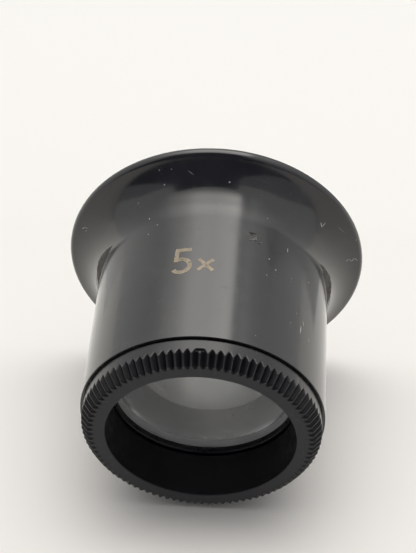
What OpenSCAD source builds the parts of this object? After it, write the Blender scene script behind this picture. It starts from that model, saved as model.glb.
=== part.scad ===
// Watchmaker's loupe: a flared eye cup, and a knurled ring that screws a lens into its narrow end.
// Each piece is drawn upright about the optical axis, rim at z = 0 and lens end up.
// place() then lays the loupe on its side on the table, as it rolls to rest.

/* [Eye cup] */
// Outside diameter of the rim that sits against the eye
rim_d = 39; // [36:0.5:44]
// Outside diameter of the straight tube
tube_d = 29.8; // [28.8:0.1:32]
// Length from the rim to the end of the tube
cup_l = 27.6; // [25.4:0.1:36]
// Wall thickness of the tube and the flare
wall = 1.5; // [1.2:0.1:1.8]
// Length over which the wall curves out from the tube to the rim
flare_l = 7.8; // [6.5:0.1:10]
// Thickness of the ledge that the lens rests on
ledge_t = 1.4; // [1:0.1:2.5]
// Diameter of the clear opening through the ledge
ledge_d = 21.8; // [20:0.1:22.4]

/* [Vent notches] */
// Distance from the rim to the bottom of each notch
notch_z = 6.5; // [5.8:0.1:7.2]
// Depth of a notch, measured in from the side of the tube
notch_depth = 1.6; // [1.5:0.05:2]
// Length of the slope that runs out to the side of the tube
notch_l = 3.6; // [2.5:0.1:4.5]
// Lean of the short face that cuts into the flare
notch_lean = 36; // [20:1:40]

/* [Screw thread] */
// Outside diameter of the thread on the ring
thread_d = 26; // [25.8:0.1:26.4]
// Height of a thread ridge
thread_depth = 0.45; // [0.35:0.05:0.5]
// Distance that the ring moves in one turn
pitch = 0.75; // [0.7:0.05:1]
// Radial clearance between the two threads
thread_gap = 0.12; // [0.1:0.01:0.15]

/* [Screw ring] */
// Outside diameter of the smooth collar
collar_d = 29.1; // [28.4:0.1:31.4]
// Length of the smooth collar
collar_l = 1.95; // [1.4:0.05:3]
// Length of the bevel that carries the knurl
bevel_l = 1.2; // [0.9:0.05:2]
// Outside diameter of the flat front face
face_d = 27.2; // [26.4:0.1:28]
// Diameter of the bore in front of the lens
bore_d = 23; // [22:0.1:23.2]
// Length of the threaded neck behind the collar
neck_l = 3.3; // [2.8:0.05:4.4]
// Bevel at the inner end of the bore, level with the crown of the lens
neck_bevel = 0.4; // [0.3:0.05:0.5]
// Gap that stays open between the collar and the tube
collar_gap = 0.15; // [0.1:0.05:0.4]
// Chamfer on the edges of the ring and the tube end
edge = 0.2; // [0.1:0.05:0.3]

/* [Knurl] */
// Number of knurl grooves
knurl_n = 94; // [60:1:110]
// Depth of a knurl groove
knurl_depth = 0.44; // [0.3:0.02:0.5]
// Angle between the two sides of a groove
knurl_a = 84; // [60:1:90]

/* [Lens] */
// Diameter of the lens
lens_d = 24.8; // [24.4:0.1:25]
// Focal length of the lens
focal_l = 50; // [33:1:100]
// Thickness of the lens at its edge
lens_edge_t = 2; // [1.2:0.1:3]
// Refractive index of the glass
glass_index = 1.52; // [1.49:0.01:1.7]

/* [Pressure ring] */
// Inside diameter of the plain ring between the neck and the lens
press_bore_d = 22.5; // [22:0.1:22.8]
// Height of the plain ring
press_l = 0.9; // [0.7:0.05:2]

/* [Fits] */
// Gap between faces that seat on one another
seat_gap = 0.05; // [0.03:0.01:0.1]
// Radial clearance round the lens and the plain ring
slip_gap = 0.1; // [0.05:0.01:0.15]

/* [On the table] */
// How far the loupe has rolled about its own axis
rolled = -4; // [-180:1:180]

/* [Hidden] */
$fn = 96;

tube_r = tube_d / 2;
rim_r = rim_d / 2;
hollow_r = tube_r - wall;

// The flare is a wall of even thickness bent to one arc, with a round bead on its end
flare_a = 2 * atan((rim_r - tube_r) / (flare_l - wall / 2));
flare_mid_r = (flare_l - wall / 2) / sin(flare_a);
flare_c = [tube_r + flare_mid_r - wall / 2, flare_l];
bead_c = flare_c - flare_mid_r * [cos(flare_a), sin(flare_a)];

// Thread radii, on the ring and in the cup
male_crest_r = thread_d / 2;
male_root_r = male_crest_r - thread_depth;
female_root_r = male_crest_r + thread_gap;
female_crest_r = male_root_r + thread_gap;
ridge_base = 0.7 * pitch;
ridge_top = 0.14 * pitch;

// A ridge's foot is sunk in its wall, and its height grows from a share to the whole over a few steps
ridge_fn = 48;
ridge_sink = 0.15;
ridge_start = 0.3;
ridge_grow = 1 / 8;

// Levels along the axis, from the tube's end down to the ledge
collar_z = cup_l + collar_gap;
bevel_z = collar_z + collar_l;
face_z = bevel_z + bevel_l;
neck_z = collar_z - neck_l;
press_z = neck_z - seat_gap - press_l;
lens_r = lens_d / 2;
lens_curve_r = 2 * (glass_index - 1) * focal_l;
lens_fn = 720;
function sag(r) = lens_curve_r - sqrt(lens_curve_r ^ 2 - r ^ 2);
lens_front_z = press_z - seat_gap + sag(press_bore_d / 2);
lens_edge_z = lens_front_z - sag(lens_r);
lens_back_z = lens_edge_z - lens_edge_t - sag(lens_r);
ledge_z = lens_back_z + sag(ledge_d / 2) - seat_gap;
seat_r = lens_r + slip_gap;
thread_z = neck_z + seat_gap;

// Each ridge starts at the bottom of its wall, half a pitch apart so that they mesh
female_low_z = thread_z + ridge_base / 2;
female_turns = (cup_l - edge - ridge_base / 2 - female_low_z) / pitch;
male_low_z = female_low_z + pitch / 2;
male_turns = (collar_z - edge - ridge_base / 2 - male_low_z) / pitch;

// The loupe lies on the bead of its rim and on whichever edge reaches the table first:
// the front edge of the collar or the end of the tube
function lean(r, z) = let (c = [bead_c.x - r, z - bead_c.y])
    atan2(c.x, c.y) + asin(wall / 2 / norm(c));
tilt = min(lean(collar_d / 2, bevel_z), lean(tube_r, cup_l - edge));
lift = bead_c.x * cos(tilt) + bead_c.y * sin(tilt) + wall / 2;
back_y = bead_c.x * sin(tilt) - bead_c.y * cos(tilt) + wall / 2;
front_y = -face_d / 2 * sin(tilt) - face_z * cos(tilt);

module place() {
    translate([0, -(back_y + front_y) / 2, lift])
        rotate([90 + tilt, 0, 0])
            rotate([0, 0, rolled])
                children();
}

// Half sections, radius along x and distance from the rim along y

module flare_section() {
    far = 2 * flare_mid_r;
    intersection() {
        difference() {
            translate(flare_c) circle(r = flare_mid_r + wall / 2);
            translate(flare_c) circle(r = flare_mid_r - wall / 2);
        }
        polygon([
            flare_c,
            flare_c - [far, 0],
            flare_c - [far, far],
            flare_c - far * [cos(flare_a), sin(flare_a)]
        ]);
    }
    translate(bead_c) circle(d = wall);
}

module tube_section() {
    ledge_slope = hollow_r - ledge_d / 2;
    polygon([
        [tube_r, flare_l],
        [tube_r, cup_l - edge],
        [tube_r - edge, cup_l],
        [female_root_r + edge, cup_l],
        [female_root_r, cup_l - edge],
        [female_root_r, thread_z],
        [seat_r, thread_z],
        [seat_r, ledge_z],
        [ledge_d / 2, ledge_z],
        [ledge_d / 2, ledge_z - ledge_t],
        [hollow_r, ledge_z - ledge_t - ledge_slope],
        [hollow_r, flare_l]
    ]);
}

module ring_section() {
    polygon([
        [bore_d / 2, neck_z + neck_bevel],
        [bore_d / 2 + neck_bevel, neck_z],
        [male_root_r - edge, neck_z],
        [male_root_r, neck_z + edge],
        [male_root_r, collar_z],
        [collar_d / 2 - edge, collar_z],
        [collar_d / 2, collar_z + edge],
        [collar_d / 2, bevel_z],
        [face_d / 2, face_z],
        [bore_d / 2 + edge, face_z],
        [bore_d / 2, face_z - edge]
    ]);
}

// Screw threads

function on_helix(r, a, z) = [r * cos(a), r * sin(a), z];

// A ridge wound round a wall, which runs out at both ends
module thread_ridge(wall_r, crest_r, low_z, turns) {
    side = sign(crest_r - wall_r);
    foot_r = wall_r - side * ridge_sink;
    steps = ceil(turns * ridge_fn);
    function height(i) = min(1, ridge_start + ridge_grow * min(i, steps - i));
    function ring(i) = let (
        a = i * 360 * turns / steps,
        z = low_z + i * turns * pitch / steps,
        r = wall_r + (crest_r - wall_r) * height(i),
        base = side * ridge_base / 2 * height(i),
        top = side * ridge_top / 2
    ) [
        on_helix(foot_r, a, z - base),
        on_helix(r, a, z - top),
        on_helix(r, a, z + top),
        on_helix(foot_r, a, z + base)
    ];
    points = [for (i = [0:steps]) each ring(i)];
    sides = [for (i = [0:steps - 1], k = [0:3]) each let (
        p = 4 * i + k,
        q = 4 * i + (k + 1) % 4
    ) [[p, q + 4, p + 4], [p, q, q + 4]]];
    last = 4 * steps;
    ends = [
        [0, 2, 1], [0, 3, 2],
        [last, last + 1, last + 2], [last, last + 2, last + 3]
    ];
    polyhedron(points, concat(sides, ends));
}

// One knurl groove, a V cut that follows the bevel past both its ends
module knurl_groove() {
    fall = collar_d / 2 - face_d / 2;
    slope = atan2(fall, bevel_l);
    length = norm([fall, bevel_l]);
    over = 1;
    half = (knurl_depth + over) * tan(knurl_a / 2);
    translate([collar_d / 2, 0, bevel_z])
        rotate([0, -slope, 0])
            translate([-knurl_depth, 0, -over])
                linear_extrude(length + 2 * over)
                    polygon([[0, 0], [knurl_depth + over, -half], [knurl_depth + over, half]]);
}

// One vent notch, a V cut: a short face that leans into the flare, and a slope out to the side of the tube
module vent_notch() {
    reach = tube_r;
    across = notch_depth + reach;
    rotate([90, 0, 0])
        linear_extrude(2 * reach, center = true)
            polygon([
                [tube_r - notch_depth, notch_z],
                [tube_r + reach, notch_z - across * tan(notch_lean)],
                [tube_r + reach, notch_z + across * notch_l / notch_depth]
            ]);
}

// Pieces

module eye_cup() {
    color("#17171a")
        place() {
            difference() {
                rotate_extrude() {
                    flare_section();
                    tube_section();
                }
                for (side = [0, 180])
                    rotate([0, 0, side]) vent_notch();
            }
            thread_ridge(female_root_r, female_crest_r, female_low_z, female_turns);
        }
}

module screw_ring() {
    color("#2b2b2e")
        place() {
            difference() {
                rotate_extrude() ring_section();
                for (i = [0:knurl_n - 1])
                    rotate([0, 0, i * 360 / knurl_n]) knurl_groove();
            }
            thread_ridge(male_root_r, male_crest_r, male_low_z, male_turns);
        }
}

module pressure_ring() {
    color("#1f1f22")
        place()
            rotate_extrude()
                translate([press_bore_d / 2, press_z])
                    square([lens_r - press_bore_d / 2, press_l]);
}

module lens() {
    color("#c9d6dc", 0.4)
        place()
            rotate_extrude()
                intersection() {
                    translate([0, lens_back_z]) square([lens_r, lens_front_z - lens_back_z]);
                    translate([0, lens_front_z - lens_curve_r]) circle(r = lens_curve_r, $fn = lens_fn);
                    translate([0, lens_back_z + lens_curve_r]) circle(r = lens_curve_r, $fn = lens_fn);
                }
}

eye_cup();
screw_ring();
pressure_ring();
lens();
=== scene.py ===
"""The looks of a watchmaker's loupe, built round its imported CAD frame.

Pieces are drawn in millimetres, upright about the optical axis as the part's source draws them
(rim at z = 0, lens end up), and place() lays them on the table in metres.
"""
import math
import bmesh
import bpy
import numpy as np
from mathutils import Euler, Matrix, Vector, noise


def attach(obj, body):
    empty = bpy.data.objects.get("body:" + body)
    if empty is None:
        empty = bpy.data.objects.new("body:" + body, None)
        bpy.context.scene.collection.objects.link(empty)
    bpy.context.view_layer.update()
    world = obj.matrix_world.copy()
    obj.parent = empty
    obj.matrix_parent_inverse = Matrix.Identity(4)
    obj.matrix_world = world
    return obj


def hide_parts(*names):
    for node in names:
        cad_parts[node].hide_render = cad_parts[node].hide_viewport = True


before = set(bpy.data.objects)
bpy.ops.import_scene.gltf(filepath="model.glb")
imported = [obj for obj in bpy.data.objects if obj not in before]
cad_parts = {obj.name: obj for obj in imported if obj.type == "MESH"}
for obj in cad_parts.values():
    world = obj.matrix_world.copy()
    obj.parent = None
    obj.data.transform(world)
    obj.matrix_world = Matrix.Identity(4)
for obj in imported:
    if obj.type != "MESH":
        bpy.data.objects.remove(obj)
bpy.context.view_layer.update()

# Sizes that the pieces share with the part's source, in mm
RIM_R, TUBE_R, CUP_L, WALL, FLARE_L = 19.5, 14.9, 27.6, 1.5, 7.8
LEDGE_T, LEDGE_R = 1.4, 10.9
THREAD_R, THREAD_DEPTH, PITCH, THREAD_GAP = 13.0, 0.45, 0.75, 0.12
COLLAR_R, COLLAR_L, COLLAR_GAP = 14.55, 1.95, 0.15
BEVEL_L, FACE_R, BORE_R, EDGE = 1.2, 13.6, 11.5, 0.2
NECK_L, NECK_BEVEL = 3.3, 0.4
KNURL_N, KNURL_DEPTH, KNURL_HALF = 94, 0.44, math.radians(42)
LENS_R, FOCAL_L, LENS_EDGE_T, GLASS_INDEX = 12.4, 50.0, 2.0, 1.52
PRESS_BORE_R, PRESS_L = 11.25, 0.9
SEAT_GAP, SLIP_GAP, ROLLED = 0.05, 0.1, math.radians(-4)
# The notches are shorter along the tube than the source's, as the photo shows only a slim sliver
NOTCH_Z, NOTCH_DEPTH, NOTCH_L, NOTCH_LEAN = 6.6, 1.6, 1.5, math.radians(36)
# Points of a cut mesh that lie closer than this, in metres, are merged
SLIVER = 1e-6
# The photo's frame in pixels, and its viewpoint from the perspective fit of the loupe's circles
PHOTO_W, PHOTO_H = 416, 553
CAMERA_AT = (0.009548, -0.146228, 0.1361)
CAMERA_TURN = (math.radians(90 - 36.718), 0, math.radians(3.786))
CAMERA_LENS, SENSOR_W = 96.57, 36
# The fit's own focal length in pixels, which is 0.3 percent shorter than the camera's
FIT_FOCAL = 1479.03

HOLLOW_R = TUBE_R - WALL
FLARE_A = 2 * math.atan((RIM_R - TUBE_R) / (FLARE_L - WALL / 2))
FLARE_MID_R = (FLARE_L - WALL / 2) / math.sin(FLARE_A)
FLARE_C = (TUBE_R + FLARE_MID_R - WALL / 2, FLARE_L)
BEAD_C = (FLARE_C[0] - FLARE_MID_R * math.cos(FLARE_A), FLARE_C[1] - FLARE_MID_R * math.sin(FLARE_A))
MALE_ROOT_R = THREAD_R - THREAD_DEPTH
FEMALE_ROOT_R, FEMALE_CREST_R = THREAD_R + THREAD_GAP, MALE_ROOT_R + THREAD_GAP
RIDGE_BASE, RIDGE_TOP, RIDGE_SINK = 0.7 * PITCH, 0.14 * PITCH, 0.15
COLLAR_Z = CUP_L + COLLAR_GAP
BEVEL_Z = COLLAR_Z + COLLAR_L
FACE_Z = BEVEL_Z + BEVEL_L
NECK_Z = COLLAR_Z - NECK_L
PRESS_Z = NECK_Z - SEAT_GAP - PRESS_L
LENS_CURVE_R = 2 * (GLASS_INDEX - 1) * FOCAL_L


def sag(r):
    """How far the lens's surface falls from its crown to a radius."""
    return LENS_CURVE_R - math.sqrt(LENS_CURVE_R ** 2 - r * r)


LENS_FRONT_Z = PRESS_Z - SEAT_GAP + sag(PRESS_BORE_R)
LENS_EDGE_Z = LENS_FRONT_Z - sag(LENS_R)
LENS_BACK_Z = LENS_EDGE_Z - LENS_EDGE_T - sag(LENS_R)
LEDGE_Z = LENS_BACK_Z + sag(LEDGE_R) - SEAT_GAP
SEAT_R = LENS_R + SLIP_GAP
THREAD_Z = NECK_Z + SEAT_GAP
FEMALE_LOW_Z = THREAD_Z + RIDGE_BASE / 2
FEMALE_TURNS = (CUP_L - EDGE - RIDGE_BASE / 2 - FEMALE_LOW_Z) / PITCH
MALE_LOW_Z = FEMALE_LOW_Z + PITCH / 2
MALE_TURNS = (COLLAR_Z - EDGE - RIDGE_BASE / 2 - MALE_LOW_Z) / PITCH

# The loupe leans until the front edge of its collar meets the table
LEAN_X, LEAN_Y = BEAD_C[0] - COLLAR_R, BEVEL_Z - BEAD_C[1]
TILT = math.atan2(LEAN_X, LEAN_Y) + math.asin(WALL / 2 / math.hypot(LEAN_X, LEAN_Y))
SIN_T, COS_T = math.sin(TILT), math.cos(TILT)
LIFT = BEAD_C[0] * COS_T + BEAD_C[1] * SIN_T + WALL / 2
BACK_Y = BEAD_C[0] * SIN_T - BEAD_C[1] * COS_T + WALL / 2
FRONT_Y = -FACE_R * SIN_T - FACE_Z * COS_T
SHIFT = -(BACK_Y + FRONT_Y) / 2


def place(points):
    """Upright millimetres to metres on the table."""
    p = np.asarray(points, float).reshape(-1, 3)
    c, s = math.cos(ROLLED), math.sin(ROLLED)
    x, y, z = p[:, 0] * c - p[:, 1] * s, p[:, 0] * s + p[:, 1] * c, p[:, 2]
    return np.stack([x, -SIN_T * y - COS_T * z + SHIFT, COS_T * y - SIN_T * z + LIFT], 1) / 1000


def upright(points):
    """Metres on the table back to upright millimetres."""
    p = np.asarray(points, float) * 1000
    y, z = p[:, 1] - SHIFT, p[:, 2] - LIFT
    x2, y2, z2 = p[:, 0], -SIN_T * y + COS_T * z, -COS_T * y - SIN_T * z
    c, s = math.cos(-ROLLED), math.sin(-ROLLED)
    return np.stack([x2 * c - y2 * s, x2 * s + y2 * c, z2], 1)


# Meshes

def new_object(name, mesh):
    obj = bpy.data.objects.new(name, mesh)
    bpy.context.scene.collection.objects.link(obj)
    return obj


def make(name, points, faces, smooth=True, sharp=35):
    """A mesh object from upright millimetres, laid in its place."""
    mesh = bpy.data.meshes.new(name)
    mesh.from_pydata([tuple(p) for p in place(points)], [], faces)
    mesh.validate()
    if smooth:
        mesh.shade_smooth()
        mesh.set_sharp_from_angle(angle=math.radians(sharp))
    else:
        mesh.shade_flat()
    return new_object(name, mesh)


def fix_normals(obj):
    """Turns every face outwards."""
    bm = bmesh.new()
    bm.from_mesh(obj.data)
    bmesh.ops.recalc_face_normals(bm, faces=bm.faces)
    bm.to_mesh(obj.data)
    bm.free()


def local_centres(obj):
    """Each face's centre in upright millimetres."""
    centres = np.empty(len(obj.data.polygons) * 3)
    obj.data.polygons.foreach_get("center", centres)
    return upright(centres.reshape(-1, 3))


def rounded(corners, around=5, guard=0.06):
    """A closed section with rounded corners, each (r, z, radius). Guard rows keep the flats flat."""
    out = []
    n = len(corners)
    for i, (x, y, radius) in enumerate(corners):
        p = np.array([x, y], float)
        a, b = np.array(corners[i - 1][:2], float), np.array(corners[(i + 1) % n][:2], float)
        u, v = (a - p) / np.linalg.norm(a - p), (b - p) / np.linalg.norm(b - p)
        if radius <= 0:
            out.append(tuple(p))
            continue
        half = math.acos(max(-1, min(1, float(u @ v)))) / 2
        cut = radius / math.tan(half)
        centre = p + (u + v) / np.linalg.norm(u + v) * radius / math.sin(half)
        start, end = p + u * cut, p + v * cut
        a0, a1 = math.atan2(*(start - centre)[::-1]), math.atan2(*(end - centre)[::-1])
        turn = (a1 - a0 + math.pi) % (2 * math.pi) - math.pi
        out.append(tuple(start + u * guard))
        for k in range(around + 1):
            at = a0 + turn * k / around
            out.append(tuple(centre + radius * np.array([math.cos(at), math.sin(at)])))
        out.append(tuple(end + v * guard))
    return out


def filled(section, step):
    """The section with points added so that no two are further apart than step."""
    out = []
    for (x0, y0), (x1, y1) in zip(section, section[1:] + section[:1]):
        k = max(1, math.ceil(math.hypot(x1 - x0, y1 - y0) / step))
        out += [(x0 + (x1 - x0) * i / k, y0 + (y1 - y0) * i / k) for i in range(k)]
    return out


def lathe(section, n):
    """Points and faces of a closed section turned about the axis."""
    m = len(section)
    angle = np.arange(n) * 2 * math.pi / n
    s = np.array(section)
    points = np.stack([np.outer(s[:, 0], np.cos(angle)), np.outer(s[:, 0], np.sin(angle)),
                       np.repeat(s[:, 1:2], n, 1)], -1).reshape(-1, 3)
    faces = [(i * n + j, i * n + (j + 1) % n, (i + 1) % m * n + (j + 1) % n, (i + 1) % m * n + j)
             for i in range(m) for j in range(n)]
    return points, faces


def arc(centre, radius, a0, a1, n):
    angles = [a0 + (a1 - a0) * k / n for k in range(n + 1)]
    return [(centre[0] + radius * math.cos(a), centre[1] + radius * math.sin(a)) for a in angles]


def boolean(target, cutters):
    """Cuts the cutters out of the target, deletes them, and closes up slivers."""
    for cutter in cutters:
        mod = target.modifiers.new("cut", "BOOLEAN")
        mod.object, mod.operation, mod.solver = cutter, "DIFFERENCE", "EXACT"
    bpy.context.view_layer.update()
    cut = target.evaluated_get(bpy.context.evaluated_depsgraph_get())
    mesh = bpy.data.meshes.new_from_object(cut)
    target.modifiers.clear()
    bm = bmesh.new()
    bm.from_mesh(mesh)
    bmesh.ops.remove_doubles(bm, verts=bm.verts[:], dist=SLIVER)
    bmesh.ops.dissolve_degenerate(bm, edges=bm.edges[:], dist=SLIVER)
    bm.to_mesh(mesh)
    bm.free()
    target.data = mesh
    mesh.name = target.name
    for cutter in cutters:
        bpy.data.objects.remove(cutter)


def thread_ridge(name, wall_r, crest_r, low_z, turns, around=96):
    """A helical ridge that grows from the wall at both ends, as in the part's source."""
    side = math.copysign(1, crest_r - wall_r)
    steps = math.ceil(turns * around)
    points = []
    for i in range(steps + 1):
        a = 2 * math.pi * turns * i / steps
        z = low_z + turns * PITCH * i / steps
        grow = min(1, 0.3 + min(i, steps - i) / (around / 6))
        r = wall_r + (crest_r - wall_r) * grow
        base, top = RIDGE_BASE / 2 * grow, RIDGE_TOP / 2
        foot_r, shoulder_r, shoulder = wall_r - side * RIDGE_SINK, r - side * 0.05, top + 0.03
        section = ((foot_r, -base), (shoulder_r, -shoulder), (r, -top * 0.5),
                   (r, top * 0.5), (shoulder_r, shoulder), (foot_r, base))
        points += [(at_r * math.cos(a), at_r * math.sin(a), z + rise) for at_r, rise in section]
    k = len(section)
    faces = [(i * k + j, i * k + (j + 1) % k, (i + 1) * k + (j + 1) % k, (i + 1) * k + j)
             for i in range(steps) for j in range(k)]
    faces += [tuple(range(k)), tuple(range(steps * k, steps * k + k))]
    obj = make(name, points, faces)
    fix_normals(obj)
    return obj


# The eye cup

def cup_section():
    slope = HOLLOW_R - LEDGE_R
    straight = FLARE_L + 0.5
    tube = rounded([
        (TUBE_R, straight, 0), (TUBE_R, CUP_L, 0.06), (FEMALE_ROOT_R, CUP_L, 0.15),
        (FEMALE_ROOT_R, THREAD_Z, 0.05), (SEAT_R, THREAD_Z, 0.05), (SEAT_R, LEDGE_Z, 0.05),
        (LEDGE_R, LEDGE_Z, 0.1), (LEDGE_R, LEDGE_Z - LEDGE_T, 0.15),
        (HOLLOW_R, LEDGE_Z - LEDGE_T - slope, 0.4), (HOLLOW_R, straight, 0)])
    # Without the point that filled() adds where the section would close across the wall
    tube = filled(tube, 1.0)[:-1]
    inner = arc(FLARE_C, FLARE_MID_R + WALL / 2, math.pi, math.pi + FLARE_A, 30)
    bead = arc(BEAD_C, WALL / 2, math.pi + FLARE_A, 2 * math.pi + FLARE_A, 24)[1:-1]
    outer = arc(FLARE_C, FLARE_MID_R - WALL / 2, math.pi + FLARE_A, math.pi, 36)
    near = FLARE_L + 0.06
    return tube + [(HOLLOW_R, near)] + inner + bead + outer + [(TUBE_R, near)]


# Roughness of the sawn faces: size in mm and waves per mm
TORN = ((0.030, 2.2), (0.022, 6.0), (0.012, 15))


def notch_cutter(side):
    """A V prism whose two faces are rough, as a saw leaves them."""
    reach, span = 7.0, 9.0
    bottom = np.array([TUBE_R - NOTCH_DEPTH, NOTCH_Z])
    low = bottom + reach * np.array([1, -math.tan(NOTCH_LEAN)])
    high = bottom + reach * np.array([1, NOTCH_L / NOTCH_DEPTH])
    low_normal, high_normal = (math.sin(NOTCH_LEAN), math.cos(NOTCH_LEAN)), (-0.91, 0.41)
    across, along = 22, 90
    # Denser near the bottom of the V, where the wall is
    share = [(k / across) ** 1.6 for k in range(across + 1)]
    section = [low + (bottom - low) * (1 - s) for s in share[::-1]][:-1]
    section += [bottom + (high - bottom) * s for s in share]
    points = []
    for i in range(along + 1):
        y = -span + 2 * span * i / along
        for k, (x, z) in enumerate(section):
            q = Vector((x, y, z + side * 20))
            rough = sum(size * noise.noise(q * pitch) for size, pitch in TORN)
            out = rough + 0.012 * math.sin(x * 21 + 1.5 * noise.noise(q))
            nx, nz = low_normal if k < across else high_normal
            points.append((side * (x + nx * out), y, z + nz * out))
    m = len(section)
    faces = [(i * m + k, i * m + (k + 1) % m, (i + 1) * m + (k + 1) % m, (i + 1) * m + k)
             for i in range(along) for k in range(m)]
    faces += [tuple(range(m - 1, -1, -1)), tuple(range(along * m, along * m + m))]
    obj = make("notch_cutter", points, faces, smooth=False)
    fix_normals(obj)
    return obj


# Gouges of the chip in the tube: (angle, level) of both ends, then half width and depth
CHIP = ((71.2, 9.70, 68.2, 9.66, 0.16, 0.20), (68.3, 9.66, 66.6, 10.25, 0.13, 0.15),
        (71.1, 10.55, 70.0, 9.95, 0.13, 0.14), (69.0, 11.02, 65.4, 10.80, 0.13, 0.09),
        (70.4, 10.75, 68.3, 10.45, 0.30, 0.07))
CHIP_ANGLES, CHIP_LEVELS = (73, 63.5), (9.2, 11.6)


def chip_depth(a, z):
    """How deep the chip is at an angle in degrees and a level. Its floor is ragged."""
    p = np.array([math.radians(a) * TUBE_R, z])
    depth = 0.0
    for a0, z0, a1, z1, half, deep in CHIP:
        q0, q1 = np.array([math.radians(a0) * TUBE_R, z0]), np.array([math.radians(a1) * TUBE_R, z1])
        t = max(0, min(1, float((p - q0) @ (q1 - q0) / ((q1 - q0) @ (q1 - q0)))))
        off = np.linalg.norm(p - q0 - t * (q1 - q0)) / half
        depth = max(depth, deep * (1 - off * off))
    if depth == 0:
        return 0
    coarse, fine = noise.noise(Vector((a * 1.4, z * 5, 3.0))), noise.noise(Vector((a * 4, z * 14, 8.0)))
    return depth + (0.035 * coarse + 0.02 * fine)


def chip_cutter():
    """A small torn chip, cut as a few gouges, with a lid above the tube."""
    n = 58
    floor_points = []
    for a in np.linspace(*CHIP_ANGLES, n):
        local = math.radians(a) - ROLLED
        for z in np.linspace(*CHIP_LEVELS, n):
            r = TUBE_R + 0.03 - chip_depth(a, z)
            floor_points.append((r * math.cos(local), r * math.sin(local), z))
    lid_r = TUBE_R + 0.4
    lid = [(lid_r / math.hypot(x, y) * x, lid_r / math.hypot(x, y) * y, z) for x, y, z in floor_points]
    top = len(floor_points)
    faces = []
    for i in range(n - 1):
        for j in range(n - 1):
            a, b, c, d = i * n + j, i * n + j + 1, (i + 1) * n + j + 1, (i + 1) * n + j
            faces += [(a, b, c, d), (top + d, top + c, top + b, top + a)]
    rim = list(range(n)) + [i * n + n - 1 for i in range(1, n)]
    rim += [(n - 1) * n + j for j in range(n - 2, -1, -1)] + [i * n for i in range(n - 2, 0, -1)]
    faces += [(rim[k], rim[k - 1], top + rim[k - 1], top + rim[k]) for k in range(len(rim))]
    obj = make("chip_cutter", floor_points + lid, faces, smooth=False)
    fix_normals(obj)
    return obj


def build_cup():
    points, faces = lathe(cup_section(), 288)
    cup = make("cup_shell", points, faces)
    fix_normals(cup)
    boolean(cup, [notch_cutter(1), notch_cutter(-1), chip_cutter()])
    cup.data.set_sharp_from_angle(angle=math.radians(35))
    return cup


# The screw ring

BEVEL_SLOPE = math.atan2(COLLAR_R - FACE_R, BEVEL_L)
KNURL_TIP_Z = BEVEL_Z - KNURL_DEPTH / math.sin(BEVEL_SLOPE)
# Knurl faces deeper than GROOVE_SHOWS take the grooves' material, whose darker base is painted shade in
# the grooves
KNURL_SOFT, GROOVE_SHOWS = 0.03, 0.045
NICK_ANGLE, NICK_Z = math.radians(93.83), 29.30
RING_SKIN, RING_GROOVE, RING_BORE, RING_FACE = range(4)


def ring_back():
    """The plain part of the ring's section, from the face down the bore and up to the collar."""
    back = rounded([(FACE_R, FACE_Z, 0), (BORE_R, FACE_Z, 0.15), (BORE_R, NECK_Z + NECK_BEVEL, 0.1),
                    (BORE_R + NECK_BEVEL, NECK_Z, 0.05), (MALE_ROOT_R, NECK_Z, 0.15),
                    (MALE_ROOT_R, COLLAR_Z, 0.05), (COLLAR_R, COLLAR_Z, 0.07),
                    (COLLAR_R, KNURL_TIP_Z - 0.1, 0)])[1:-1]
    back = filled(back, 1.2)
    # Without the closing stretch that filled() adds between the last point and the first
    last = max(i for i, p in enumerate(back) if p[0] > COLLAR_R - 0.001)
    return back[:last + 1]


def knurl_columns():
    """Each column's angle round the ring, and its angle from the middle of its groove."""
    per = 12
    column = np.arange(KNURL_N * per)
    share = (column % per) / per - 0.5
    # Columns crowd towards the ridge, which is at plus or minus half a pitch
    share = np.sign(share) * (0.5 - 0.5 * (1 - 2 * np.abs(share)) ** 1.15)
    return (column // per + share) * 2 * math.pi / KNURL_N, share * 2 * math.pi / KNURL_N


def bevel_r(z):
    """The radius of the collar or the bevel at a level, without the knurl."""
    if z <= BEVEL_Z:
        return COLLAR_R
    return COLLAR_R - (z - BEVEL_Z) * (COLLAR_R - FACE_R) / BEVEL_L


def groove_r(z, r, off):
    """The radius of a groove's walls at a level, by the angle from the groove's middle."""
    cos_b, sin_b = math.cos(BEVEL_SLOPE), math.sin(BEVEL_SLOPE)
    w = r * np.abs(np.sin(off))
    soft = np.sqrt(w * w + KNURL_SOFT ** 2) - KNURL_SOFT * 0.6
    top = COLLAR_R * cos_b - (z - BEVEL_Z) * sin_b - KNURL_DEPTH + soft / math.tan(KNURL_HALF)
    return top / (np.cos(off) * cos_b)


def soft_min(a, b, k=0.035):
    h = np.clip(0.5 + 0.5 * (b - a) / k, 0, 1)
    return b + (a - b) * h - k * h * (1 - h)


def nick(z, angle):
    """The depth of a dent across the land between two grooves, just behind the bevel."""
    off_centre = np.abs((angle - NICK_ANGLE + math.pi) % (2 * math.pi) - math.pi) * COLLAR_R
    across = np.clip((0.52 - off_centre) / 0.12, 0, 1)
    along = max(0.0, 1 - ((z - NICK_Z) / 0.21) ** 2)
    return 0.26 * across * along


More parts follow.
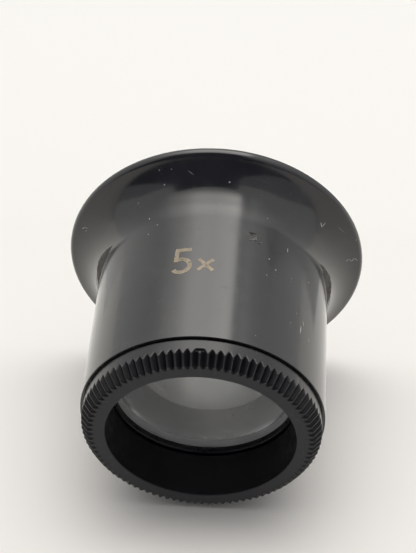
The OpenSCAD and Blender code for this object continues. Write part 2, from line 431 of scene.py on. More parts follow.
def build_ring():
    back = ring_back()
    angle, off = knurl_columns()
    n = len(angle)
    rows = [(np.full(n, r), z) for r, z in back]
    depth = [np.zeros(n) for _ in back]
    levels = [*np.linspace(KNURL_TIP_Z - 0.08, BEVEL_Z - 0.06, 15), BEVEL_Z - 0.02, BEVEL_Z + 0.02,
              *np.linspace(BEVEL_Z + 0.06, FACE_Z - 0.09, 14)]
    for z in levels:
        r = bevel_r(z)
        cut = np.minimum(np.minimum(soft_min(r, groove_r(z, r, off)), r), r - nick(z, angle))
        rows.append((cut, z))
        depth.append(r - cut)
    # The front edge, rounded
    for dr, dz in ((0.012, 0.05), (0.035, 0.02), (0.075, 0.004), (0.13, 0.0)):
        z = FACE_Z - dz
        r = bevel_r(z) - dr
        cut = np.minimum(soft_min(r, groove_r(FACE_Z, r, off) - dr), r)
        rows.append((cut, z))
        depth.append(r - cut)
    outer, inner = rows[-1][0], back[0][0]
    for t in (0.93, 0.8, 0.6, 0.4, 0.2):
        rows.append((inner + (outer - inner) * t, FACE_Z))
        depth.append(np.zeros(n))
    m = len(rows)
    points = np.concatenate([np.stack([r * np.cos(angle), r * np.sin(angle), np.full(n, z)], 1)
                             for r, z in rows])
    faces = [(i * n + j, i * n + (j + 1) % n, (i + 1) % m * n + (j + 1) % n, (i + 1) % m * n + j)
             for i in range(m) for j in range(n)]
    ring = make("ring_body", points, faces)
    fix_normals(ring)
    kind = np.full((m, n), RING_SKIN)
    for i in range(m):
        after = (i + 1) % m
        deep = (depth[i] + depth[after]) / 2
        # Faces deep in a groove take the grooves' material: a dull cut finish with painted shade
        kind[i] = np.where((deep + np.roll(deep, -1)) / 2 > GROOVE_SHOWS, RING_GROOVE, RING_SKIN)
        r_mid, z_mid = (rows[i][0][0] + rows[after][0][0]) / 2, (rows[i][1] + rows[after][1]) / 2
        # Faces in the bore take the bore's material, whose darker base is painted shade in the bore
        if r_mid < BORE_R + NECK_BEVEL and z_mid < FACE_Z - 0.06:
            kind[i] = RING_BORE
        # Faces on the front take the face's darker copy of the satin: painted shade
        elif z_mid > FACE_Z - 0.06 and r_mid < FACE_R - 0.2:
            kind[i] = RING_FACE
    ring.data.polygons.foreach_set("material_index", kind.ravel().astype(np.int32))
    ring.data.set_sharp_from_angle(angle=math.radians(50))
    return ring


# The lens and the plain ring that clamps it

def build_lens():
    chamfer = 0.12
    rim = LENS_R - chamfer
    k = 26
    front = [(rim * i / k, LENS_FRONT_Z - sag(rim * i / k)) for i in range(k, 0, -1)]
    back = [(rim * i / k, LENS_BACK_Z + sag(rim * i / k)) for i in range(1, k + 1)]
    edge = [(LENS_R, LENS_EDGE_Z - LENS_EDGE_T + chamfer), (LENS_R, LENS_EDGE_Z - chamfer)]
    rows = back + edge + front
    n, m = 192, len(rows)
    angles = np.arange(n) * 2 * math.pi / n
    points = [(r * math.cos(a), r * math.sin(a), z) for r, z in rows for a in angles]
    faces = [(i * n + j, i * n + (j + 1) % n, (i + 1) * n + (j + 1) % n, (i + 1) * n + j)
             for i in range(m - 1) for j in range(n)]
    low, high = len(points), len(points) + 1
    points += [(0, 0, LENS_BACK_Z), (0, 0, LENS_FRONT_Z)]
    faces += [(low, (j + 1) % n, j) for j in range(n)]
    faces += [((m - 1) * n + j, (m - 1) * n + (j + 1) % n, high) for j in range(n)]
    lens = make("lens_glass", points, faces)
    fix_normals(lens)
    lens.data.set_sharp_from_angle(angle=math.radians(25))
    # Polished faces, and the ground edge and seat
    c = local_centres(lens)
    r = np.hypot(c[:, 0], c[:, 1])
    ground = (r > rim - 0.01) | ((r > LEDGE_R + 0.1) & (c[:, 2] < LENS_EDGE_Z - LENS_EDGE_T / 2))
    lens.data.polygons.foreach_set("material_index", ground.astype(np.int32))
    return lens


def build_clamp():
    top_z = PRESS_Z + PRESS_L
    section = rounded([(PRESS_BORE_R, PRESS_Z, 0.12), (LENS_R, PRESS_Z, 0.1),
                       (LENS_R, top_z, 0.1), (PRESS_BORE_R, top_z, 0.2)], guard=0.03)
    points, faces = lathe(section, 192)
    clamp = make("clamp_ring", points, faces)
    fix_normals(clamp)
    return clamp


# The printed magnification, a plain number and a times sign: its middle's level and angle, and its size
PRINT_Z, PRINT_ANGLE, PRINT_W, PRINT_H = 15.45, math.radians(97.28 + 3.5), 5.3, 4.25
INK_TOP, INK_SUNK = 0.016, -0.03


def on_tube(x, y, r):
    """A point of the print: x round the tube to the camera's right, y towards the rim, both in mm."""
    a = PRINT_ANGLE - x / TUBE_R
    return (r * math.cos(a), r * math.sin(a), PRINT_Z - y)


def bowl(centre, radius, start, end, n):
    """Points of an arc between two angles in degrees."""
    turns = [math.radians(t) for t in np.linspace(start, end, n)]
    return [(centre[0] + radius * math.cos(t), centre[1] + radius * math.sin(t)) for t in turns]


def glyph_five():
    centre, outer_r, inner_r = (1.24, 1.36), 1.36, 0.80
    flag = [(0.40, 4.25), (2.42, 4.25), (2.42, 3.68), (0.93, 3.68), (0.86, 2.60)]
    return (flag + bowl(centre, outer_r, 105, -146, 26) + bowl(centre, inner_r, -146, 122, 22)
            + [(0.30, 2.08)])


def glyph_times():
    half, arm, centre = 0.24, 1.28, (4.25, 1.40)
    plus = [(half, half), (half, arm), (-half, arm), (-half, half), (-arm, half), (-arm, -half),
            (-half, -half), (-half, -arm), (half, -arm), (half, -half), (arm, -half), (arm, half)]
    k = math.sqrt(0.5)
    return [(centre[0] + k * (x - y), centre[1] + k * (x + y)) for x, y in plus]


def build_print():
    bm = bmesh.new()
    for glyph in (glyph_five(), glyph_times()):
        bm.faces.new([bm.verts.new((x - PRINT_W / 2, y - PRINT_H / 2, 0)) for x, y in glyph])
    bmesh.ops.recalc_face_normals(bm, faces=bm.faces)
    ext = bmesh.ops.extrude_face_region(bm, geom=bm.faces[:])
    raised = [v for v in ext["geom"] if isinstance(v, bmesh.types.BMVert)]
    bmesh.ops.translate(bm, verts=raised, vec=(0, 0, 1))
    # Sliced upright, so that it can bend round the tube
    for x in np.arange(-3, 3, 0.35):
        whole = bm.verts[:] + bm.edges[:] + bm.faces[:]
        bmesh.ops.bisect_plane(bm, geom=whole, plane_co=(x, 0, 0), plane_no=(1, 0, 0))
    bmesh.ops.triangulate(bm, faces=[f for f in bm.faces if len(f.verts) > 4])
    for v in bm.verts:
        r = TUBE_R + (INK_TOP if v.co.z > 0.5 else INK_SUNK)
        v.co = Vector(place([on_tube(v.co.x, v.co.y, r)])[0])
    bmesh.ops.recalc_face_normals(bm, faces=bm.faces)
    mesh = bpy.data.meshes.new("power_mark")
    bm.to_mesh(mesh)
    bm.free()
    mesh.shade_smooth()
    mesh.set_sharp_from_angle(angle=math.radians(40))
    return new_object("power_mark", mesh)


# Materials

class Nodes:
    """A short way to write a material's nodes."""

    def __init__(self, name):
        self.mat = bpy.data.materials.new(name)
        self.mat.use_nodes = True
        self.tree = self.mat.node_tree
        self.bsdf = self.tree.nodes["Principled BSDF"]
        coord = self.add("ShaderNodeTexCoord")
        mapping = self.add("ShaderNodeMapping", vector_type="TEXTURE")
        mapping.inputs["Location"].default_value = (0, SHIFT / 1000, LIFT / 1000)
        mapping.inputs["Rotation"].default_value = (math.pi / 2 + TILT, 0, 0)
        self.link(coord.outputs["Object"], mapping.inputs["Vector"])
        scale = self.add("ShaderNodeVectorMath", operation="SCALE")
        scale.inputs["Scale"].default_value = 1000
        self.link(mapping.outputs["Vector"], scale.inputs[0])
        self.mm = scale.outputs["Vector"]          # upright millimetres, rim at z = 0

    def add(self, kind, **props):
        node = self.tree.nodes.new(kind)
        for k, v in props.items():
            setattr(node, k, v)
        return node

    def link(self, a, b):
        self.tree.links.new(a, b)

    def put(self, socket, value):
        if hasattr(value, "is_output"):
            self.link(value, socket)
        else:
            socket.default_value = value

    def shade(self, name, value):
        """Gives the shader's input a value, or a link to one."""
        self.put(self.bsdf.inputs[name], value)

    def math(self, op, a, b=0.5, clamp=False):
        node = self.add("ShaderNodeMath", operation=op, use_clamp=clamp)
        self.put(node.inputs[0], a)
        if len(node.inputs) > 1:
            self.put(node.inputs[1], b)
        return node.outputs[0]

    def stretched(self, factors):
        node = self.add("ShaderNodeVectorMath", operation="MULTIPLY")
        self.link(self.mm, node.inputs[0])
        node.inputs[1].default_value = factors
        return node.outputs[0]

    def noise(self, scale, detail=4, rough=0.5, vector=None, dist=0.0):
        node = self.add("ShaderNodeTexNoise")
        self.link(vector or self.mm, node.inputs["Vector"])
        node.inputs["Scale"].default_value = scale
        node.inputs["Detail"].default_value = detail
        node.inputs["Roughness"].default_value = rough
        node.inputs["Distortion"].default_value = dist
        return node.outputs["Fac"]

    def ramp(self, fac, lo, hi, a=0.0, b=1.0):
        node = self.add("ShaderNodeMapRange", clamp=True)
        node.interpolation_type = "SMOOTHSTEP"
        self.put(node.inputs["Value"], fac)
        node.inputs["From Min"].default_value, node.inputs["From Max"].default_value = lo, hi
        node.inputs["To Min"].default_value, node.inputs["To Max"].default_value = a, b
        return node.outputs["Result"]

    def mix(self, fac, a, b):
        node = self.add("ShaderNodeMix", data_type="RGBA")
        self.put(node.inputs["Factor"], fac)
        self.put(node.inputs["A"], a)
        self.put(node.inputs["B"], b)
        return node.outputs["Result"]

    def bump(self, height, strength, distance, normal=None):
        node = self.add("ShaderNodeBump")
        node.inputs["Strength"].default_value = strength
        node.inputs["Distance"].default_value = distance
        self.link(height, node.inputs["Height"])
        if normal:
            self.link(normal, node.inputs["Normal"])
        return node.outputs["Normal"]

    def marks(self):
        """Scuffs and specks, each a small spindle between two places on the cup."""
        total = None
        for x0, y0, x1, y1, width, strength in SCUFFS + tuple((x, y, x, y, w, q) for x, y, w, q in SPECKS):
            start, end = on_cup(x0, y0), on_cup(x1, y1)
            along = (end - start) / 2
            node = self.add("ShaderNodeMapping", vector_type="TEXTURE")
            self.link(self.mm, node.inputs["Vector"])
            node.inputs["Location"].default_value = (start + end) / 2
            if along.length:
                node.inputs["Rotation"].default_value = along.to_track_quat("X", "Z").to_euler()
            node.inputs["Scale"].default_value = (width + along.length, width, width)
            away = self.add("ShaderNodeVectorMath", operation="LENGTH")
            self.link(node.outputs["Vector"], away.inputs[0])
            mask = self.ramp(away.outputs["Value"], 0.45, 1.0, strength, 0.0)
            total = mask if total is None else self.math("MAXIMUM", total, mask)
        return total

    def scratches(self, direction, scale, width):
        """Fine scratches: thin level lines of a stretched noise."""
        f = self.noise(scale, 2, 0.5, self.stretched(direction), 0.4)
        d = self.math("ABSOLUTE", self.math("SUBTRACT", f, 0.5))
        return self.ramp(d, 0.0, width, 1.0, 0.0)


def rgb(*c):
    return (*c, 1.0)


def shades(base, low, high):
    """A darker and a lighter form of a colour."""
    return rgb(*[c * low for c in base]), rgb(*[c * high for c in base])


# Scuffs on the cup, as seen in the photo: both ends in pixels, half width in mm, strength
SCUFFS = ((287, 248, 287, 252, 0.08, 1.0), (300.3, 325, 299.5, 333, 0.11, 1.0),
          (302, 320, 303, 326, 0.10, 0.5), (308, 338, 308, 341, 0.11, 0.4),
          (320, 222, 321, 227, 0.10, 1.0), (321, 227, 325, 222, 0.08, 0.9),
          (345, 261, 348, 258.5, 0.10, 0.6), (348, 259, 351, 261, 0.10, 0.5),
          (351, 261, 353.5, 257.5, 0.10, 0.7), (353.5, 257.5, 357, 260.5, 0.10, 0.6),
          (355, 240, 356, 239, 0.11, 0.6), (337, 226, 344, 233, 0.06, 0.3),
          (82, 228.5, 84.5, 227, 0.08, 0.8), (84.5, 227, 88, 228, 0.08, 0.7),
          (187, 170, 194, 175, 0.06, 0.5))
# Specks, in the same way: the middle in pixels, half width in mm, strength
SPECKS = ((268.5, 258.5, 0.13, 0.9), (275, 269.5, 0.13, 0.8), (266, 274.5, 0.12, 0.4),
          (290, 281.5, 0.12, 0.35), (308, 282, 0.13, 0.7), (296, 313, 0.13, 0.4),
          (290, 322, 0.12, 0.3), (255, 335, 0.12, 0.35), (267, 218, 0.12, 0.4),
          (86, 230.5, 0.11, 0.8), (149, 218.5, 0.13, 0.9), (157, 224.5, 0.12, 0.8),
          (148, 234, 0.13, 0.8), (138, 203, 0.12, 0.4), (92, 239, 0.11, 0.4),
          (164, 184.5, 0.13, 0.7), (159, 170, 0.12, 0.5), (171, 169, 0.12, 0.4),
          (229, 182, 0.13, 1.0))


def on_cup(across, down):
    """The place on the cup's outside that a pixel of the photo shows, in mm upright as it lies."""
    pixel = Vector((across + 0.5 - PHOTO_W / 2, PHOTO_H / 2 - down - 0.5, -FIT_FOCAL))
    lying = Matrix(((1, 0, 0), (0, -SIN_T, COS_T), (0, -COS_T, -SIN_T)))
    ray = (lying @ Euler(CAMERA_TURN).to_matrix() @ pixel).normalized()
    at = lying @ (Vector(CAMERA_AT) * 1000 - Vector((0, SHIFT, LIFT)))
    # Half the way that is clear in every direction, again and again, ends on the surface
    for _ in range(150):
        r = math.hypot(at.x, at.y)
        if at.z > FLARE_L:
            clear = r - TUBE_R
        else:
            clear = FLARE_MID_R - WALL / 2 - math.hypot(FLARE_C[0] - r, FLARE_L - at.z)
        at += ray * clear / 2
    return at


def gloss_black(name, base, rough, ior=1.6, marked=True):
    """Polished black moulding with haze, fine scratches, dust and a soft waviness."""
    m = Nodes(name)
    haze = m.noise(0.35, 5, 0.6)
    around = m.scratches((0.03, 0.03, 1.0), 3.2, 0.012)
    along = m.scratches((0.9, 0.9, 0.05), 1.7, 0.008)
    patches = m.ramp(m.noise(0.22, 3, 0.6), 0.5, 0.62)
    scratch = m.math("MULTIPLY", m.math("MAXIMUM", around, along), patches)
    cells = m.add("ShaderNodeTexVoronoi", feature="F1")
    m.link(m.mm, cells.inputs["Vector"])
    cells.inputs["Scale"].default_value = 0.42
    size = m.ramp(m.noise(0.9, 1), 0.35, 0.75, 0.01, 0.055)
    speck = m.math("LESS_THAN", cells.outputs["Distance"], size)
    tone = m.mix(m.ramp(haze, 0.35, 0.7), *shades(base, 0.85, 1.25))
    tone = m.mix(m.math("MULTIPLY", scratch, 0.10), tone, rgb(0.16, 0.155, 0.15))
    tone = m.mix(m.math("MULTIPLY", speck, 0.4), tone, rgb(0.16, 0.155, 0.145))
    surface = m.bump(m.noise(0.16, 2, 0.4), 0.35, 0.00004)
    if marked:
        spots = m.marks()
        tone = m.mix(spots, tone, rgb(0.34, 0.33, 0.31))
        speck = m.math("MAXIMUM", speck, spots)
        surface = m.bump(m.noise(9.0, 3, 0.6), 0.08, 0.000003, surface)
    dull = m.math("ADD", m.ramp(haze, 0.3, 0.75, rough * 0.8, rough * 1.35),
                  m.math("MULTIPLY", scratch, 0.12))
    m.shade("Base Color", tone)
    m.shade("Roughness", m.math("ADD", dull, m.math("MULTIPLY", speck, 0.3), clamp=True))
    m.shade("IOR", ior)
    m.shade("Normal", m.bump(scratch, 0.3, 0.000006, surface))
    return m.mat


def sawn_black():
    """The rough walls of the vent notches: dull, greyish brown and torn."""
    m = Nodes("sawn_plastic")
    grain = m.noise(3.0, 6, 0.7)
    lines = m.noise(7.0, 3, 0.6, m.stretched((1.0, 0.12, 1.0)))
    tones = rgb(0.030, 0.029, 0.028), rgb(0.120, 0.113, 0.104)
    m.shade("Base Color", m.mix(m.ramp(grain, 0.3, 0.72), *tones))
    m.shade("Roughness", m.ramp(lines, 0.3, 0.7, 0.5, 0.85))
    m.shade("IOR", 1.5)
    m.shade("Normal", m.bump(lines, 0.7, 0.00006, m.bump(grain, 0.8, 0.0001)))
    return m.mat


def satin_black(name, base, rough, worn_tone=0.075, ior=1.6):
    """Moulded black with a satin skin, worn a little brighter on its edges."""
    m = Nodes(name)
    cloud = m.noise(0.5, 4, 0.6)
    grain = m.noise(14.0, 3, 0.6)
    turned = m.noise(12.0, 2, 0.5, m.stretched((0.03, 0.03, 1.0)))
    geo = m.add("ShaderNodeNewGeometry")
    worn = m.math("MULTIPLY", m.ramp(geo.outputs["Pointiness"], 0.515, 0.58),
                  m.ramp(m.noise(1.2, 3), 0.35, 0.65, 0.25, 1.0))
    tone = m.mix(m.ramp(cloud, 0.35, 0.7), *shades(base, 0.85, 1.2))
    m.shade("Base Color", m.mix(m.math("MULTIPLY", worn, 0.6), tone, rgb(*[worn_tone] * 3)))
    m.shade("Roughness", m.ramp(cloud, 0.3, 0.75, rough * 0.85, rough * 1.2))
    m.shade("IOR", ior)
    m.shade("Normal", m.bump(grain, 0.12, 0.000008, m.bump(turned, 0.1, 0.000006)))
    return m.mat


def cut_black(name, base, rough, ior):
    """Black plastic bared by a tool: dull, streaked across the cut and dusty in places."""
    m = Nodes(name)
    cloud = m.noise(0.9, 4, 0.6)
    streak = m.noise(16.0, 3, 0.6, m.stretched((1.0, 1.0, 0.15)))
    tone = m.mix(m.ramp(streak, 0.3, 0.7), *shades(base, 0.7, 1.4))
    m.shade("Base Color", m.mix(m.ramp(cloud, 0.62, 0.8, 0.0, 0.35), tone, rgb(0.035, 0.034, 0.033)))
    m.shade("Roughness", m.ramp(cloud, 0.3, 0.7, rough * 0.85, rough * 1.2))
    m.shade("IOR", ior)
    m.shade("Normal", m.bump(streak, 0.25, 0.00002))
    return m.mat


def clear_glass():
    """Polished glass, faintly smeared."""
    m = Nodes("lens_glass")
    smear = m.noise(0.25, 4, 0.6)
    m.shade("Base Color", m.mix(m.ramp(smear, 0.3, 0.8), rgb(0.97, 0.985, 0.98), rgb(0.95, 0.97, 0.965)))
    m.shade("Roughness", m.ramp(smear, 0.45, 0.8, 0.0, 0.03))
    m.shade("Transmission Weight", 1.0)
    m.shade("IOR", GLASS_INDEX)
    m.shade("Normal", m.bump(m.noise(0.3, 2), 0.02, 0.00001))
    return m.mat


def ground_glass():
    """Ground glass, pale and frosted, with a grain."""
    m = Nodes("ground_glass")
    grain = m.noise(9.0, 5, 0.6)
    m.shade("Base Color", m.mix(m.ramp(grain, 0.3, 0.7), rgb(0.52, 0.525, 0.52), rgb(0.64, 0.645, 0.64)))
    m.shade("Roughness", m.ramp(grain, 0.3, 0.7, 0.55, 0.75))
    m.shade("Normal", m.bump(grain, 0.3, 0.00002))
    return m.mat


def gilt():
    """Gilt printing, matt and worn through in places."""
    m = Nodes("gilt_print")
    wear = m.noise(2.6, 5, 0.65)
    tones = rgb(0.190, 0.155, 0.108), rgb(0.262, 0.215, 0.152)
    tone = m.mix(m.ramp(m.noise(1.1, 3), 0.35, 0.65), *tones)
    m.shade("Base Color", m.mix(m.ramp(wear, 0.56, 0.68), tone, rgb(0.05, 0.045, 0.04)))
    m.shade("Roughness", m.ramp(wear, 0.4, 0.7, 0.42, 0.6))
    m.shade("Metallic", 0.15)
    m.shade("Normal", m.bump(m.noise(9.0, 3), 0.25, 0.00001))
    return m.mat


CUP_HOLLOW, CUP_SAWN = 1, 2


def assign_cup(cup):
    """Polished outside, duller hollow, sawn walls of the notches and the chip."""
    for mat in (gloss_black("cup_gloss", (0.0105, 0.0105, 0.011), 0.13),
                gloss_black("cup_hollow", (0.010, 0.010, 0.0105), 0.2, 1.5, marked=False),
                sawn_black()):
        cup.data.materials.append(mat)
    normals = np.empty(len(cup.data.polygons) * 3)
    cup.data.polygons.foreach_get("normal", normals)
    origin = place([(0, 0, 0)])
    normals = upright(origin + normals.reshape(-1, 3) / 1000) - upright(origin)
    x, y, z = local_centres(cup).T
    r = np.hypot(x, y)
    outward = (normals[:, 0] * x + normals[:, 1] * y) / np.maximum(r, 1e-9)
    index = np.zeros(len(r), np.int32)
    index[(outward < -0.02) & (z > 0.8)] = CUP_HOLLOW
    index[(z < LEDGE_Z + 0.2) & (z > LEDGE_Z - LEDGE_T - 3) & (r < HOLLOW_R - 0.05)] = CUP_HOLLOW
    # Sawn faces lie on the V's two planes, and not on the flare's or the tube's own surfaces
    past = np.abs(x) - (TUBE_R - NOTCH_DEPTH)
    off_low = np.abs(z - (NOTCH_Z - past * math.tan(NOTCH_LEAN)))
    off_high = np.abs(z - (NOTCH_Z + past * NOTCH_L / NOTCH_DEPTH))
    near = (past > -0.15) & (past < 3.0) & (np.abs(y) < 8) & ((off_low < 0.14) | (off_high < 0.25))
    off_middle = np.abs(np.hypot(FLARE_C[0] - r, FLARE_L - z) - FLARE_MID_R)
    on_flare = (z < FLARE_L) & (np.abs(off_middle - WALL / 2) < 0.012)
    on_wall = (z >= FLARE_L) & ((np.abs(r - TUBE_R) < 0.006) | (np.abs(r - HOLLOW_R) < 0.006))
    index[near & ~on_flare & ~on_wall] = CUP_SAWN
    turn = np.degrees(np.arctan2(y, x) + ROLLED)
    in_chip = (turn > CHIP_ANGLES[1]) & (turn < CHIP_ANGLES[0])
    in_chip &= (z > CHIP_LEVELS[0]) & (z < CHIP_LEVELS[1])
    index[in_chip & (r < TUBE_R - 0.012) & (r > TUBE_R - 0.4)] = CUP_SAWN
    cup.data.polygons.foreach_set("material_index", index)


# Pieces

cup = build_cup()
assign_cup(cup)
cup_thread = thread_ridge("cup_thread", FEMALE_ROOT_R, FEMALE_CREST_R, FEMALE_LOW_Z, FEMALE_TURNS)
cup_thread.data.materials.append(satin_black("thread_satin", (0.012, 0.012, 0.013), 0.32))

ring_skin = satin_black("ring_satin", (0.009, 0.009, 0.0105), 0.24, ior=1.48)
ring = build_ring()
for mat in (ring_skin,
            # The grooves: a dull cut finish, with a darker base that is painted shade in the grooves
            cut_black("knurl_cut_and_shade", (0.004, 0.004, 0.0055), 0.42, 1.26),
            # The bore: dull, with a darker, bluer base than the ring's skin, which is painted shade inside
            # the bore
            cut_black("bore_dull_and_shaded", (0.0012, 0.0012, 0.0022), 0.5, 1.24),
            # The face: a darker, bluer copy of the ring's satin, painted shade for the shadowed table that
            # the face mirrors
            satin_black("ring_face_shaded", (0.005, 0.006, 0.0105), 0.34, 0.03, 1.37)):
    ring.data.materials.append(mat)
ring_thread = thread_ridge("ring_thread", MALE_ROOT_R, THREAD_R, MALE_LOW_Z, MALE_TURNS)
ring_thread.data.materials.append(ring_skin)

clamp = build_clamp()
clamp.data.materials.append(satin_black("clamp_satin", (0.004, 0.004, 0.005), 0.3, 0.02, 1.4))
lens = build_lens()
for mat in (clear_glass(), ground_glass()):
    lens.data.materials.append(mat)
mark = build_print()
mark.data.materials.append(gilt())

for piece, body, node, slot in (
        (cup, "cup", "eye_cup", "cup_plastic"),
        (cup_thread, "cup", "eye_cup", "cup_plastic"),
        (ring, "ring", "screw_ring", "ring_plastic"),
        (ring_thread, "ring", "screw_ring", "ring_plastic"),
        (clamp, "lens_stack", "pressure_ring", "ring_plastic"),
        (lens, "lens_stack", "lens", "lens_glass"),
        (mark, "cup", None, "cup_plastic")):
    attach(piece, body)
    if node:
        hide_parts(node)


# Floor, light and camera

FLOOR_HALF = 1.5
# The floor's front colour is a little darker than its back one: painted shade
FLOOR_FRONT, FLOOR_BACK = rgb(0.85, 0.82, 0.79), rgb(0.85, 0.838, 0.81)
GLOW_COLOUR, GLOW_STRENGTH, GLOW_SHARE = rgb(1.0, 0.97, 0.91), 1.27, 0.75
ROOM_LIGHT, ROOM_SEEN = (rgb(0.98, 0.99, 1.0), 0.47), (rgb(0.93, 0.93, 0.92), 1.0)


def build_floor():
    a = FLOOR_HALF
    mesh = bpy.data.meshes.new("floor")
    mesh.from_pydata([(-a, -a, 0), (a, -a, 0), (a, a, 0), (-a, a, 0)], [], [(0, 1, 2, 3)])
    floor = new_object("floor", mesh)
    mat = bpy.data.materials.new("floor")
    mat.use_nodes = True
    new, link = mat.node_tree.nodes.new, mat.node_tree.links.new
    bsdf = mat.node_tree.nodes["Principled BSDF"]
    coord, split = new("ShaderNodeTexCoord"), new("ShaderNodeSeparateXYZ")
    link(coord.outputs["Object"], split.inputs[0])
    # Painted shade: the floor is a little darker and warmer at the front, and paler and cooler at the
    # back, in place of the room's light falling off
    grade, mix = new("ShaderNodeMapRange"), new("ShaderNodeMix")
    grade.interpolation_type = "SMOOTHSTEP"
    grade.inputs["From Min"].default_value = -0.10
    grade.inputs["From Max"].default_value = 0.16
    mix.data_type = "RGBA"
    mix.inputs["A"].default_value = FLOOR_FRONT
    mix.inputs["B"].default_value = FLOOR_BACK
    link(split.outputs["Y"], grade.inputs["Value"])
    link(grade.outputs["Result"], mix.inputs["Factor"])
    link(mix.outputs["Result"], bsdf.inputs["Base Color"])
    bsdf.inputs["Roughness"].default_value = 0.7
    bsdf.inputs["Specular IOR Level"].default_value = 0.2
    # The gloss shows the floor as part of the pale background, behind and beside the loupe
    path, behind = new("ShaderNodeLightPath"), new("ShaderNodeMapRange")
    behind.inputs["From Min"].default_value = -0.03
    behind.inputs["From Max"].default_value = 0.03
    behind.inputs["To Max"].default_value = GLOW_SHARE
    link(split.outputs["Y"], behind.inputs["Value"])
    share, glow, shown = new("ShaderNodeMath"), new("ShaderNodeEmission"), new("ShaderNodeMixShader")
    share.operation = "MULTIPLY"
    link(path.outputs["Is Glossy Ray"], share.inputs[0])
    link(behind.outputs["Result"], share.inputs[1])
    glow.inputs["Color"].default_value = GLOW_COLOUR
    glow.inputs["Strength"].default_value = GLOW_STRENGTH
    link(share.outputs[0], shown.inputs[0])
    link(bsdf.outputs[0], shown.inputs[1])
    link(glow.outputs[0], shown.inputs[2])
    link(shown.outputs[0], mat.node_tree.nodes["Material Output"].inputs["Surface"])
    mesh.materials.append(mat)


def build_world():
    """A pale room to the camera, the gloss and the glass, and a softer light on all that scatters."""
    world = bpy.data.worlds.new("studio")
    bpy.context.scene.world = world
    world.use_nodes = True
    world.node_tree.nodes.clear()
    new, link = world.node_tree.nodes.new, world.node_tree.links.new
    path = new("ShaderNodeLightPath")
    seen = path.outputs["Is Camera Ray"]
    for name in ("Is Glossy Ray", "Is Transmission Ray"):
        either = new("ShaderNodeMath")
        either.operation = "MAXIMUM"
        link(seen, either.inputs[0])
        link(path.outputs[name], either.inputs[1])
        seen = either.outputs[0]
    mix, out = new("ShaderNodeMixShader"), new("ShaderNodeOutputWorld")
    link(seen, mix.inputs[0])
    for socket, (colour, strength) in zip(mix.inputs[1:], (ROOM_LIGHT, ROOM_SEEN)):
        node = new("ShaderNodeBackground")
        node.inputs["Color"].default_value = colour
        node.inputs["Strength"].default_value = strength
        link(node.outputs[0], socket)
    link(mix.outputs[0], out.inputs[0])


def build_panel(name, x_stops, y_stops, peak, tint, glossy=True, height=0.8, top=0.033):
    """An overhead panel, for the gloss or for the scattered light.

    Its tone is a product of two profiles of (place, share), where a place is the distance from the
    object's middle per unit of height above the object's top. Panels at one height would hide each
    other from the gloss, so each has a height of its own.
    """
    (x0, x1), (y0, y1) = (x_stops[0][0], x_stops[-1][0]), (y_stops[0][0], y_stops[-1][0])
    light = bpy.data.lights.new(name, "AREA")
    light.shape = "RECTANGLE"
    light.size, light.size_y = (x1 - x0) * height, (y1 - y0) * height
    # This energy makes the panel's radiance the strength that its nodes give
    light.energy = 4 * light.size * light.size_y
    light.color = tint
    light.use_nodes = True
    new, link = light.node_tree.nodes.new, light.node_tree.links.new
    geo, split = new("ShaderNodeNewGeometry"), new("ShaderNodeSeparateXYZ")
    link(geo.outputs["Parametric"], split.inputs[0])
    product, scaled = new("ShaderNodeMath"), new("ShaderNodeMath")
    product.operation = scaled.operation = "MULTIPLY"
    for k, (axis, stops, lo, hi) in enumerate((("X", x_stops, x0, x1), ("Y", y_stops, y0, y1))):
        ramp = new("ShaderNodeValToRGB")
        elements = ramp.color_ramp.elements
        elements[0].position, elements[0].color = 0, rgb(*[stops[0][1]] * 3)
        elements[1].position, elements[1].color = 1, rgb(*[stops[-1][1]] * 3)
        for at, share in stops[1:-1]:
            elements.new((at - lo) / (hi - lo)).color = rgb(share, share, share)
        link(split.outputs[axis], ramp.inputs["Fac"])
        link(ramp.outputs["Color"], product.inputs[k])
    scaled.inputs[1].default_value = peak
    link(product.outputs[0], scaled.inputs[0])
    link(scaled.outputs[0], light.node_tree.nodes["Emission"].inputs["Strength"])
    lamp = bpy.data.objects.new(name, light)
    bpy.context.scene.collection.objects.link(lamp)
    lamp.location = ((x0 + x1) / 2 * height, (y0 + y1) / 2 * height, height + top)
    lamp.visible_camera = False
    lamp.visible_glossy, lamp.visible_diffuse = glossy, not glossy


def bell(centre, width, reach=2.1, steps=14):
    """A soft profile that fades to nothing on both sides."""
    profile = []
    for k in range(steps + 1):
        at = 2 * k / steps - 1
        share = 0.0 if k in (0, steps) else math.exp(-(reach * at) ** 2)
        profile.append((centre + width * reach * at, share))
    return profile


def build_card(name, outline, tone, depth, glossy=True):
    """An upright card of (x, z) points, seen only by reflections or only by scattered light."""
    mesh = bpy.data.meshes.new(name)
    mesh.from_pydata([(x, depth, z) for x, z in outline], [], [tuple(range(len(outline)))])
    card = new_object(name, mesh)
    mat = bpy.data.materials.new(name)
    mat.use_nodes = True
    mat.node_tree.nodes.clear()
    new, link = mat.node_tree.nodes.new, mat.node_tree.links.new
    emission, out = new("ShaderNodeEmission"), new("ShaderNodeOutputMaterial")
    emission.inputs["Color"].default_value = rgb(*tone)
    link(emission.outputs[0], out.inputs[0])
    mesh.materials.append(mat)
    card.visible_camera = card.visible_transmission = card.visible_shadow = False
    card.visible_glossy, card.visible_diffuse = glossy, not glossy


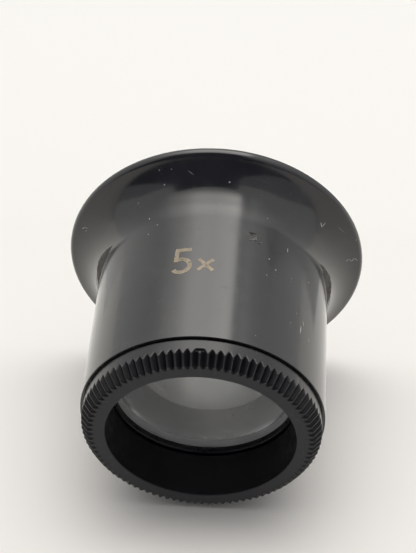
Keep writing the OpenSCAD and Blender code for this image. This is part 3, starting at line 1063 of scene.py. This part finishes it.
# The main panel's profiles across and along the loupe. They come from a fit of such a panel to the
# bands of gloss in the photo, made outside this script, then scaled, rounded and partly changed by hand
PANEL_X = ((-1.2, 0.0), (-0.9, 0.05), (-0.75, 0.17), (-0.6, 0.24), (-0.45, 0.40), (-0.3, 0.71),
           (-0.15, 0.75), (0.0, 0.73), (0.15, 0.86), (0.27, 0.99), (0.34, 0.93), (0.375, 0.62),
           (0.405, 0.20), (0.44, 0.05), (0.5, 0.0), (0.56, 0.06), (0.62, 0.10), (0.75, 0.05),
           (0.9, 0.02), (1.2, 0.0))
PANEL_Y = ((-0.62, 0.0), (-0.5, 0.03), (-0.42, 0.27), (-0.34, 0.57), (-0.2, 0.90), (0.0, 0.78),
           (0.2, 1.0), (0.4, 0.80), (0.6, 0.63), (0.75, 0.58), (0.9, 0.40), (1.05, 0.36),
           (1.2, 0.24), (1.35, 0.05), (1.5, 0.0))

# The dim side of the room. Its corners are where the edges of the flare's dark reflections in the
# photo are mirrored to, worked out outside this script and rounded
DARK = ((-0.66, 0.0), (-0.66, 0.115), (-0.62, 0.29), (-0.57, 0.52), (-0.545, 0.64), (-0.64, 0.83),
        (-0.87, 1.22), (-0.606, 1.226), (-0.367, 1.07), (-0.19, 1.046), (-0.03, 1.025),
        (0.13, 1.038), (0.264, 1.10), (0.309, 0.936), (0.235, 0.69), (0.19, 0.516), (0.20, 0.38),
        (0.23, 0.28), (0.257, 0.18), (0.30, 0.09), (0.37, 0.0))
GREY_LEFT = ((-1.35, 0.0), (-0.5, 0.0), (-0.5, 0.80), (-0.75, 0.74), (-1.35, 0.55))
GREY_RIGHT = ((0.1, 0.0), (1.0, 0.0), (0.95, 0.50), (0.6, 0.62), (0.1, 0.80))
# Two low cards close behind, which keep the panel out of the lens
BACK_RIGHT = ((0.0, 0.0), (0.06, 0.0), (0.06, 0.07), (0.0, 0.07))
BACK_LEFT = ((-0.06, 0.0), (0.0, 0.0), (0.0, 0.07), (-0.06, 0.07))

build_floor()
build_world()
build_panel("key", bell(0.05, 0.85), bell(0.12, 0.3), 3.50, (1.0, 0.98, 0.95), glossy=False, height=0.92)
build_panel("panel", PANEL_X, PANEL_Y, 3.15, (1.0, 0.972, 0.918))
# The glow's places, widths and peak are from the same fit
build_panel("panel_glow", bell(0.03, 1.1), bell(0.51, 0.4), 0.57, (1.0, 0.99, 0.97), height=0.86)
build_card("dark_card", DARK, (0.10, 0.105, 0.15), -0.6)
build_card("dark_flag", DARK, (0.18, 0.18, 0.19), -0.6, glossy=False)
build_card("grey_card_left", GREY_LEFT, (0.52, 0.52, 0.56), -0.62)
build_card("grey_card_right", GREY_RIGHT, (0.50, 0.50, 0.55), -0.62)
build_card("back_card_right", BACK_RIGHT, (0.62, 0.62, 0.61), 0.05)
build_card("back_card_left", BACK_LEFT, (0.92, 0.91, 0.89), 0.05)

camera_data = bpy.data.cameras.new("camera")
camera_data.lens = CAMERA_LENS
camera_data.sensor_width = SENSOR_W
camera_data.clip_start = 0.005
camera = bpy.data.objects.new("camera", camera_data)
bpy.context.scene.collection.objects.link(camera)
camera.location = CAMERA_AT
camera.rotation_euler = CAMERA_TURN
bpy.context.scene.camera = camera
bpy.context.scene.view_settings.view_transform = "Standard"
